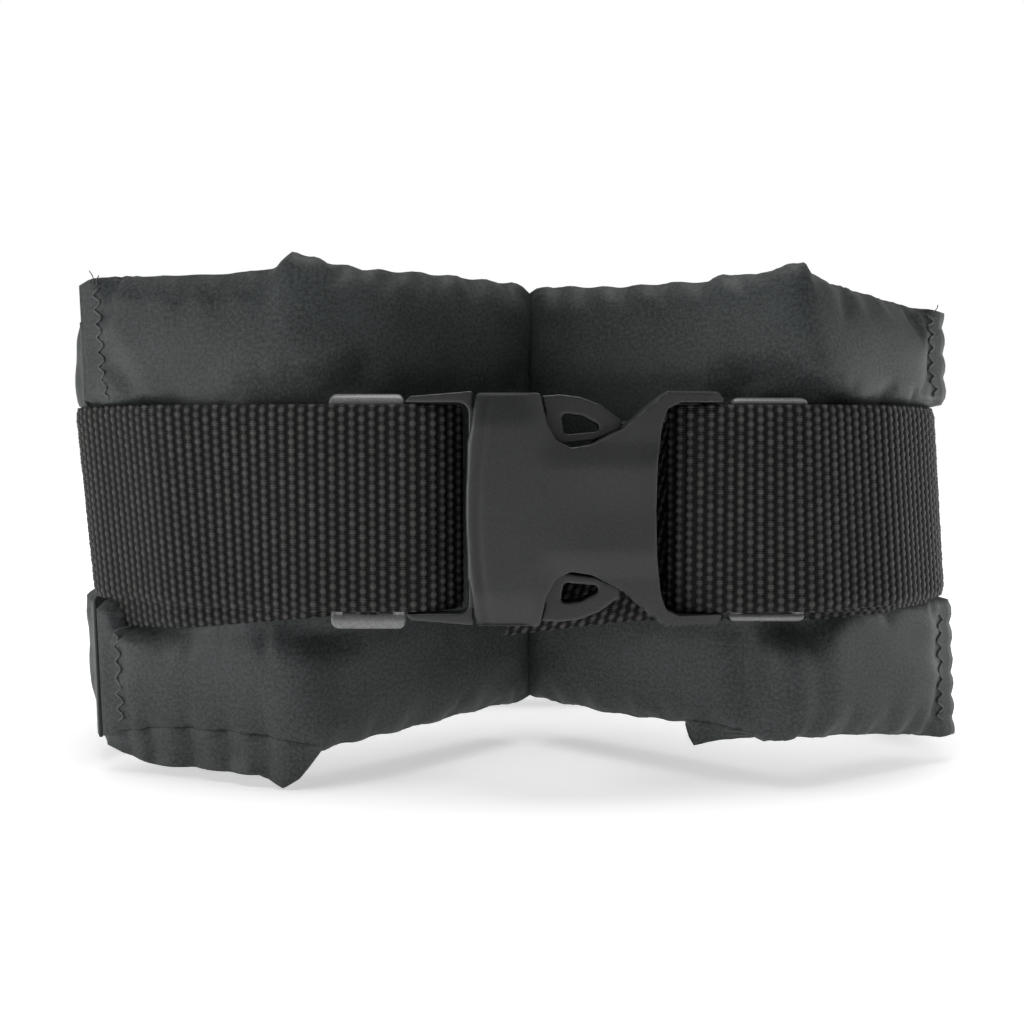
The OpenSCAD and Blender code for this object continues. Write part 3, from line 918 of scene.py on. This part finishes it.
def lower_flap(name, pouch_points, lean, flap):
    """Spare cloth that hangs below a pouch's lower seam."""
    start, end = flap["reach"]
    seed = flap["seed"]
    s = np.arange(start, end, FLAP_STEP)
    share = (s - start) / (end - start)
    tops = np.interp(share, *zip(*flap["top"]))
    low = np.interp(share, *zip(*flap["bottom"]))
    t = np.linspace(0, 1, FLAP_ROWS)[:, None]
    head = on_outer_sheet(*pouch_points, s, tops, FLAP_HEAD)
    z = head[:, 2] + (low - head[:, 2]) * t
    fold = 0.5 * bell(t - 0.16, 0.13)
    down = 40 * t + 0 * s
    sway = 1.1 * soft_noise(s, down, 22, seed) * t + 0.5 * soft_noise(s, down, 8, seed + 1) * t
    points = []
    for side in (-1, 1):
        y = head[:, 1] + (0.15 + 0.35 * smoothstep(0, 0.3, t)) * side + sway - fold + FLAP_LEAN_OUT * t
        points.append(np.stack([head[:, 0] + 0 * z, y, z], axis=-1))
    flat = np.stack([s + 0 * z, z], axis=-1)
    obj = sheet_object(name, np.stack(points), np.stack([flat, flat]), lean)
    dressed(obj, FABRIC, "belt", "cover_fabric")


lower_flap("front_left_lower_flap", front_left, FRONT_LEFT["lean"], FRONT_LEFT_FLAP)
lower_flap("front_right_lower_flap", front_right, FRONT_RIGHT["lean"], FRONT_RIGHT_FLAP)


# ---- stitching of the pouches ----

OVERLOCK_STEP = 0.4       # between the path's points, up the pouch
OVERLOCK_PITCH = 3.7      # from one wave of the thread to the next
OVERLOCK_SWING = 0.85
OVERLOCK_DRIFT = 0.8
OVERLOCK_LIFT = 0.15      # off the cloth
OVERLOCK_RADIUS = 0.32
LOOSE_RADIUS = 0.13

right_seam = distances(smooth_line(FRONT_RIGHT["line"], FRONT_RIGHT["softness"], COVER_STEP))[-1]

# Each row is a pouch, the s of its low and high ends, their heights, and the pouch's lean.
OVERLOCK_ROWS = [
    (front_left, (7, 4.6), (27, 55.5), FRONT_LEFT["lean"]),
    (front_left, (5.6, 6.4), (-57, -28), FRONT_LEFT["lean"]),
    (front_right, (right_seam - 4, right_seam - 4.6), (28, 50), FRONT_RIGHT["lean"]),
    (front_right, (right_seam - 5, right_seam - 4.2), (-59, -30), FRONT_RIGHT["lean"]),
]

# Each loose end is where it starts, its tip, and how far it curls sideways.
LOOSE_ENDS = [
    ([-107, 21, 56.5], [-107.6, 20, 59.6], 0.5),
    ([-106, 21, 56], [-105, 20, 58.4], -0.4),
    ([110.6, 29, 50], [111.6, 28, 52], 0.4),
]


def overlock(pouch_points, ends, heights, lean):
    """The wavy thread of a row of overlock stitching, from low to high over a pouch's end."""
    z = np.arange(heights[0], heights[1], OVERLOCK_STEP)
    share = (z - z[0]) / (z[-1] - z[0])
    swing = np.sin(2 * np.pi * z / OVERLOCK_PITCH + 2.2 * soft_noise(z, 0 * z, 6, 211))
    drift = soft_noise(z, 0 * z, 9, 223)
    s = ends[0] + (ends[1] - ends[0]) * share + OVERLOCK_SWING * swing + OVERLOCK_DRIFT * drift
    return leaned(on_outer_sheet(*pouch_points, s, z, OVERLOCK_LIFT), lean)


def loose_end(start, tip, curl):
    t = np.linspace(0, 1, 14)[:, None]
    bend = np.array([curl, 0, 0]) * np.sin(np.pi * t)
    return np.array(start) * (1 - t) + np.array(tip) * t + bend


threads("overlock_threads", [overlock(*row) for row in OVERLOCK_ROWS], OVERLOCK_RADIUS,
        ["pouch_end_stitching"])
threads("loose_threads", [loose_end(*end) for end in LOOSE_ENDS], LOOSE_RADIUS)


# ---- webbing ----

RIB_PITCH = 2.4           # along the webbing
RIB_ROWS = 23             # bumps across it
ALONG = 5                 # mesh points to a pitch along the webbing
ACROSS = 4                # and across it
RIB_HEIGHT = 0.72
CORE_HALF = 0.45          # half thickness of the webbing between its ribs
BUMP_HALVES = (0.43, 0.5)  # half sizes of a bump, in pitches along and across
CROWNS = (0.8, 1)         # lowest and highest crown, as shares of the rib height
SELVAGE = 0.55            # thickness of the webbing's edges, as a share of the rest
SELVAGE_W = 2.2
WANDER = 0.25             # how far the webbing's edges wander up and down
SLANT_REACH = 70.0        # length over which the ribs turn to the slant of a cut
OVER_RIBS = 1.2           # from the webbing's middle to threads lying on its ribs


def woven_height(columns, rows, seed):
    """Height of the woven ribs, 0 in the gaps and 1 on the crowns, each bump a little different."""
    i, j = np.meshgrid(np.arange(columns), np.arange(rows), indexing="ij")
    column = i // ALONG
    along = (i % ALONG) / ALONG - 0.5 + 0.5 / ALONG
    shifted = j + (ACROSS // 2) * (column % 2)
    row = shifted // ACROSS
    across = (shifted % ACROSS) / ACROSS - 0.5 + 0.5 / ACROSS
    dome = 1 - (along / BUMP_HALVES[0]) ** 2 - (across / BUMP_HALVES[1]) ** 2
    lift = np.random.default_rng(seed).uniform(*CROWNS, (column.max() + 1, row.max() + 2))
    return np.sqrt(np.clip(dome, 0, 1)) * lift[column, row]


def webbing(name, line, seed, node, body, drop=((0, 0), (1, 0)), tip_slope=0):
    """A closed woven strap along a line through the middle of its thickness.

    drop lowers the strap, by share of its length; tip_slope slants the cut at its far end."""
    line = resampled(line, RIB_PITCH / ALONG)
    normal = inward(line)
    at = distances(line)[:, None]
    rows = RIB_ROWS * ACROSS + 1
    z = np.linspace(-WEB_W / 2, WEB_W / 2, rows)[None, :]
    slant = smoothstep(at[-1] - SLANT_REACH, at[-1], at)
    s = np.clip(at + slant * tip_slope * (-z - WEB_W / 2), 0, at[-1])
    plan = np.stack([np.interp(s, at[:, 0], line[:, k]) for k in (0, 1)], axis=-1)
    facing = np.stack([np.interp(s, at[:, 0], normal[:, k]) for k in (0, 1)], axis=-1)
    low = np.interp(s / at[-1], *zip(*drop)) + WANDER * soft_noise(s, 0 * z, 40, seed)
    selvage = SELVAGE + (1 - SELVAGE) * smoothstep(0, SELVAGE_W, WEB_W / 2 - np.abs(z))
    points, ribs = [], []
    for side, side_seed in ((-1, seed + 1), (1, seed + 2)):
        height = woven_height(len(line), rows, side_seed)
        offset = side * (CORE_HALF + RIB_HEIGHT * height) * selvage
        surface = plan + facing * offset[..., None]
        points.append(np.concatenate([surface, (z + low)[..., None]], axis=-1))
        ribs.append(height)
    uv = np.stack([s, z + 0 * s], axis=-1)
    quads = closed_sheet_quads(len(line), rows)
    obj = mesh_object(name, leaned(np.stack(points), WEBBING_LEAN), quads, np.stack([uv, uv]))
    # The rib height also sets the webbing's painted shade in the gaps and painted highlight on the
    # crowns.
    rib = obj.data.attributes.new("rib", "FLOAT", "POINT")
    rib.data.foreach_set("value", np.stack(ribs).astype(np.float32).ravel())
    return dressed(obj, WEBBING, body, "webbing", node)


def slider_weave(x):
    """The line of a webbing through a slider that starts at x: behind its end bars, over the middle."""
    middle = x + SLIDER_W / 2
    end_bar = SLIDER_BAR + 0.6
    half_bar = SLIDER_BAR / 2 + 0.4
    return [[x - 1, BEHIND_SLIDER], [x + end_bar, BEHIND_SLIDER],
            [middle - half_bar, OVER_BAR], [middle + half_bar, OVER_BAR],
            [x + SLIDER_W - end_bar, BEHIND_SLIDER], [x + SLIDER_W + 1, BEHIND_SLIDER]]


def layer_inside(line, layers):
    """The line of a webbing that lies so many layers inside another one."""
    line = smooth_line(line, 8, 1)
    return line + inward(line) * layers * LAYER


def left_webbing():
    """Back of the ring, left side, front, round the male half's bar and back as a slack tail."""
    under = web_back - LAYER
    main = smooth_line([[30, under], [-35, under]] + left_sweep, 12)
    tail = layer_inside([[-107.5, 23.1], [-87, 10], [-50, 1.4]], 1)[::-1]
    line = np.concatenate([
        main, smooth_line(MALE_LOOP, 2.5),
        slider_weave(LEFT_SLIDER_X)[::-1], tail])
    strap = webbing("left_strap_webbing", smooth_line(line, 1), 201, "left_strap", None,
                    drop=[(0, 0), (0.78, 0), (0.86, -1.8), (0.93, -5), (1, -7.4)])
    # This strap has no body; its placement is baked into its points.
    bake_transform(strap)


def right_webbing():
    """The same on the right, folded back once more to end as the spare tail behind the buckle."""
    main = smooth_line([[-30, web_back]] + right_sweep, 12)
    shadowed = [[83, 6.3], [95, 11.5], [112.5, 28.5], [116.6, 40]]
    second = layer_inside(shadowed, 1)
    third = layer_inside(shadowed, 2)
    fold = (second[-1] + third[-1]) / 2
    out = second[-1] - fold
    turn = math.degrees(math.atan2(out[1], out[0]))
    line = np.concatenate([
        main, smooth_line(FEMALE_LOOP, 2.5),
        slider_weave(RIGHT_SLIDER_X), second,
        arc(fold, np.hypot(*out), turn, turn + 180)[1:-1], third[::-1],
        smooth_line([[74, 8.4], [52, TAIL_Y], [-2, TAIL_Y]], 4)])
    webbing("right_strap_webbing", smooth_line(line, 1), 301, "right_strap", "belt",
            drop=[(0, 0), (0.6, 0), (0.68, -1), (0.74, -1.8), (0.85, -2.8), (0.94, -3.6), (1, -7.5)],
            tip_slope=0.47)


left_webbing()
right_webbing()


# ---- stitching of the webbing ----

BARTACK_STEP = 0.5        # from one stitch of a bartack to the next
BARTACK_HALF_W = 1.5
BARTACK_HALF_H = 20.0
BARTACK_RADIUS = 0.22
STITCH = 3.4              # from one running stitch to the next
STITCH_RADIUS = 0.3
STITCH_ARCH = [0.6, 0.95, 1.1, 1.1, 0.95, 0.6]  # its height along its length, times OVER_RIBS
BOX_HALF_W = 22.0         # the box of stitches that joins the two straps
BOX_HALF_H = 20.0


def bartack(line, x):
    """A dense zigzag across a strap where it crosses x on the far side of the ring."""
    rear = line[:, 1] > RING_BACK / 2
    at = np.argmin(np.where(rear, np.abs(line[:, 0] - x), np.inf))
    out = -inward(line)[at] * OVER_RIBS
    along = np.array([out[1], -out[0]]) / OVER_RIBS
    path = []
    for k, z in enumerate(np.arange(-BARTACK_HALF_H, BARTACK_HALF_H, BARTACK_STEP)):
        plan = line[at] + out + along * (BARTACK_HALF_W if k % 2 else -BARTACK_HALF_W)
        path.append([*plan, z])
    return leaned(path, WEBBING_LEAN)


def stitch_row(start, end):
    """Separate running stitches on the back face of the webbing between two [x, z] points."""
    start, end = np.array(start, float), np.array(end, float)
    count = int(np.hypot(*(end - start)) / STITCH)
    shares = np.linspace(0.1, 0.9, len(STITCH_ARCH))[:, None]
    arch = web_back + OVER_RIBS * np.array(STITCH_ARCH)
    for k in range(count):
        x, z = (start + (end - start) * (k + shares) / count).T
        yield np.stack([x, arch, z], axis=1)


def strap_stitching():
    tacks = [bartack(left_whole, x) for x in (-100, -78)]
    tacks += [bartack(right_whole, x) for x in (80, 103)]
    threads("bartack_threads", tacks, BARTACK_RADIUS, ["strap_bartacks"])
    w, h = BOX_HALF_W, BOX_HALF_H
    corners = [(-w, -h), (w, -h), (w, h), (-w, h), (-w, -h), (w, h)]
    rows = [row for a, b in zip(corners, corners[1:]) for row in stitch_row(a, b)]
    rows += list(stitch_row((w, -h), (-w, h)))
    threads("box_stitch_threads", rows, STITCH_RADIUS, ["back_box_stitch"])


strap_stitching()


# ---- moulded plastic ----

def moulded(name, node, material, slot, voxel, rounds):
    """A CAD shape with its edges rounded as a mould leaves them: remeshed finely, then smoothed."""
    source = frame["nodes"][node]
    obj = bpy.data.objects.new(name, source.data.copy())
    bpy.context.scene.collection.objects.link(obj)
    remesh = obj.modifiers.new("skin", "REMESH")
    remesh.mode = "VOXEL"
    remesh.voxel_size = voxel * MM
    ease = obj.modifiers.new("ease", "SMOOTH")
    ease.factor = 0.5
    ease.iterations = rounds
    bpy.context.view_layer.update()
    evaluated = obj.evaluated_get(bpy.context.evaluated_depsgraph_get())
    mesh = bpy.data.meshes.new_from_object(evaluated)
    obj.modifiers.clear()
    obj.data = mesh
    mesh.name = name
    mesh.polygons.foreach_set("use_smooth", np.full(len(mesh.polygons), True))
    return dressed(obj, material, source["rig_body"], slot, node)


def points_of(obj):
    """The points of a mesh object in millimetres from the datum."""
    points = np.empty(len(obj.data.vertices) * 3, np.float32)
    obj.data.vertices.foreach_get("co", points)
    return points.reshape(-1, 3) / MM - [DATUM_X, DATUM_Y, 0]


def set_points(obj, points):
    obj.data.vertices.foreach_set("co", in_frame(points).astype(np.float32).ravel())
    obj.data.update()


BUCKLE_HALF_H = 28.0
MOUTH_CURVE = 2.6         # how much further right the mouth's edge is at top and bottom
LIP = 0.35                # height of the lip along the mouth
SHOULDER = 1.3            # how far the front falls back at the corners beside the mouth
WAIST = 0.7               # and at the edges of its right part
DISH = 0.5                # depth of the shallow hollow for the thumb


def crown_female(obj):
    """Crowns the front of the female half, and raises a lip along its mouth."""
    points = points_of(obj)
    normals = np.empty(points.size, np.float32)
    obj.data.vertices.foreach_get("normal", normals)
    front = np.clip(-normals.reshape(-1, 3)[:, 1], 0, 1) * (points[:, 1] < 1)
    x, z = points[:, 0], points[:, 2]
    mouth = -MOUTH_REACH + MOUTH_CURVE * (z / BUCKLE_HALF_H) ** 2
    lip = bell(x - mouth - 1, 0.9) - 0.8 * bell(x - mouth - 3, 0.8)
    shoulder = SHOULDER * smoothstep(19, 28.5, np.abs(z)) * smoothstep(8, 2, x)
    waist = WAIST * smoothstep(9, 17, np.abs(z)) * smoothstep(4, 12, x)
    dish = DISH * bell(x - 24, 14) * bell(z, 9)
    points[:, 1] += front * (shoulder + waist + dish - LIP * lip - 0.1)
    set_points(obj, points)


CAD_RAIL = 25.4           # height at which the CAD sliders' rails start
STRETCHED = 23.4          # height from which they are stretched
RAIL_BLEND = 0.6          # height below the rails from which they are rounded


def rounded_rails(obj, low, high, down):
    """Stretches a slider's two rails to lie between low and high, rounds them, and sets it lower."""
    points = points_of(obj)
    y, z = points[:, 1].copy(), points[:, 2].copy()
    z = np.sign(z) * np.interp(
        np.abs(z), [0, STRETCHED, CAD_RAIL, np.abs(z).max()], [0, STRETCHED, low, high])
    middle, reach = (y.max() + y.min()) / 2, (y.max() - y.min()) / 2
    rail = np.abs(z) > low - RAIL_BLEND
    v = (y - middle) / reach
    w = np.clip((np.abs(z) - (low + high) / 2) / ((high - low) / 2), -1, 1)
    # A square of v and w becomes a circle.
    round_y = middle + reach * v * np.sqrt(1 - w ** 2 / 2)
    round_z = np.sign(z) * ((low + high) / 2 + (high - low) / 2 * w * np.sqrt(1 - v ** 2 / 2))
    points[rail, 1] = round_y[rail]
    points[rail, 2] = round_z[rail]
    points[~rail, 2] = z[~rail]
    points[:, 2] -= down
    set_points(obj, points)


BUCKLE = (PLASTIC, "buckle_plastic")
SLIDER = (SLIDER_PAINTED_REFLECTION, "slider_plastic")
crown_female(moulded("female_half", "buckle_female", *BUCKLE, voxel=0.4, rounds=6))
moulded("male_half", "buckle_male", *BUCKLE, voxel=0.35, rounds=5)
for side in ("upper", "lower"):
    moulded(side + "_prong_arm", side + "_prong", *BUCKLE, voxel=0.3, rounds=6)
for side, low, high, down in (("left", 24.3, 28.6, 1), ("right", 24.9, 27.2, 0.5)):
    rounded_rails(moulded(side + "_tri_slider", side + "_slider", *SLIDER, voxel=0.3, rounds=8),
                  low, high, down)


# ---- floor, light and camera ----

FLOOR_HALF = 3.0          # metres
FLOOR_GAP = 0.0005        # metres, below the lowest point
CAMERA_AWAY = 260.0
CAMERA_RISE = 3.5         # degrees above level
CAMERA_LENS = 38.2
CAMERA_SENSOR = 36.0
AIM_Z = -0.7

# Name, place and target in metres, size in metres, and power in watts.
LAMPS = [
    ("left_key", (-0.6, -0.27, -0.02), (-0.05, 0, 0), 0.35, 2),
    ("right_key", (0.6, 0.08, -0.05), (0.05, 0, 0), 0.35, 1.4),
    ("top", (0, -0.1, 0.7), (0, 0, 0), 0.5, 3),
]


def stage_material():
    """A pale floor that fades to pure white away from the belt."""
    looks = Looks("stage")
    place = looks.coordinates("Object")
    away = looks.node("VectorMath", {0: place}, operation="LENGTH").outputs["Value"]
    return looks.surface({
        "Base Color": looks.ramp(looks.noise(place, scale=4), (0.9, 0.9, 0.9), (0.93, 0.93, 0.93)),
        "Roughness": 0.9,
        "Emission Color": (1, 1, 1, 1),
        "Emission Strength": looks.spread(away, 0.5, 1, within=(0.1, 0.9)),
    })


def floor():
    size = FLOOR_HALF
    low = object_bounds()[0][2] - FLOOR_GAP
    mesh = bpy.data.meshes.new("floor")
    mesh.from_pydata([(-size, -size, low), (size, -size, low), (size, size, low), (-size, size, low)],
                     [], [(0, 1, 2, 3)])
    mesh.materials.append(stage_material())
    obj = bpy.data.objects.new("floor", mesh)
    bpy.context.scene.collection.objects.link(obj)
    obj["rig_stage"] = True


def area_light(name, place, target, size, power):
    light = bpy.data.lights.new(name, "AREA")
    light.shape = "DISK"
    light.size = size
    light.energy = power
    obj = bpy.data.objects.new(name, light)
    obj.location = place
    obj.rotation_euler = (Vector(target) - Vector(place)).to_track_quat("-Z", "Y").to_euler()
    bpy.context.scene.collection.objects.link(obj)


def studio():
    """A white tent, darker towards the camera but white in its view, with soft lamps round the belt."""
    world = bpy.data.worlds.new("studio")
    world.use_nodes = True
    bpy.context.scene.world = world
    shade = Shade(world.node_tree)
    direction = shade.node("SeparateXYZ", {"Vector": shade.coordinates("Generated")}).outputs["Y"]
    tent = shade.spread(direction, 0.1, 0.5, within=(-0.5, 0.3))
    seen = shade.node("LightPath", {}).outputs["Is Camera Ray"]
    shade.feed(world.node_tree.nodes["Background"], {
        "Color": (1, 1, 1, 1),
        "Strength": shade.math("MAXIMUM", tent, seen),
    })
    for lamp in LAMPS:
        area_light(*lamp)


def camera():
    rise = math.radians(CAMERA_RISE)
    target = Vector(in_frame([0, 0, AIM_Z]))
    place = target + Vector((0, -math.cos(rise), math.sin(rise))) * CAMERA_AWAY * MM
    data = bpy.data.cameras.new("camera")
    data.lens = CAMERA_LENS
    data.sensor_width = CAMERA_SENSOR
    data.clip_start = 0.01
    obj = bpy.data.objects.new("camera", data)
    obj.location = place
    obj.rotation_euler = (target - place).to_track_quat("-Z", "Y").to_euler()
    bpy.context.scene.collection.objects.link(obj)
    bpy.context.scene.camera = obj


floor()
studio()
camera()
bpy.context.scene.view_settings.view_transform = "Standard"
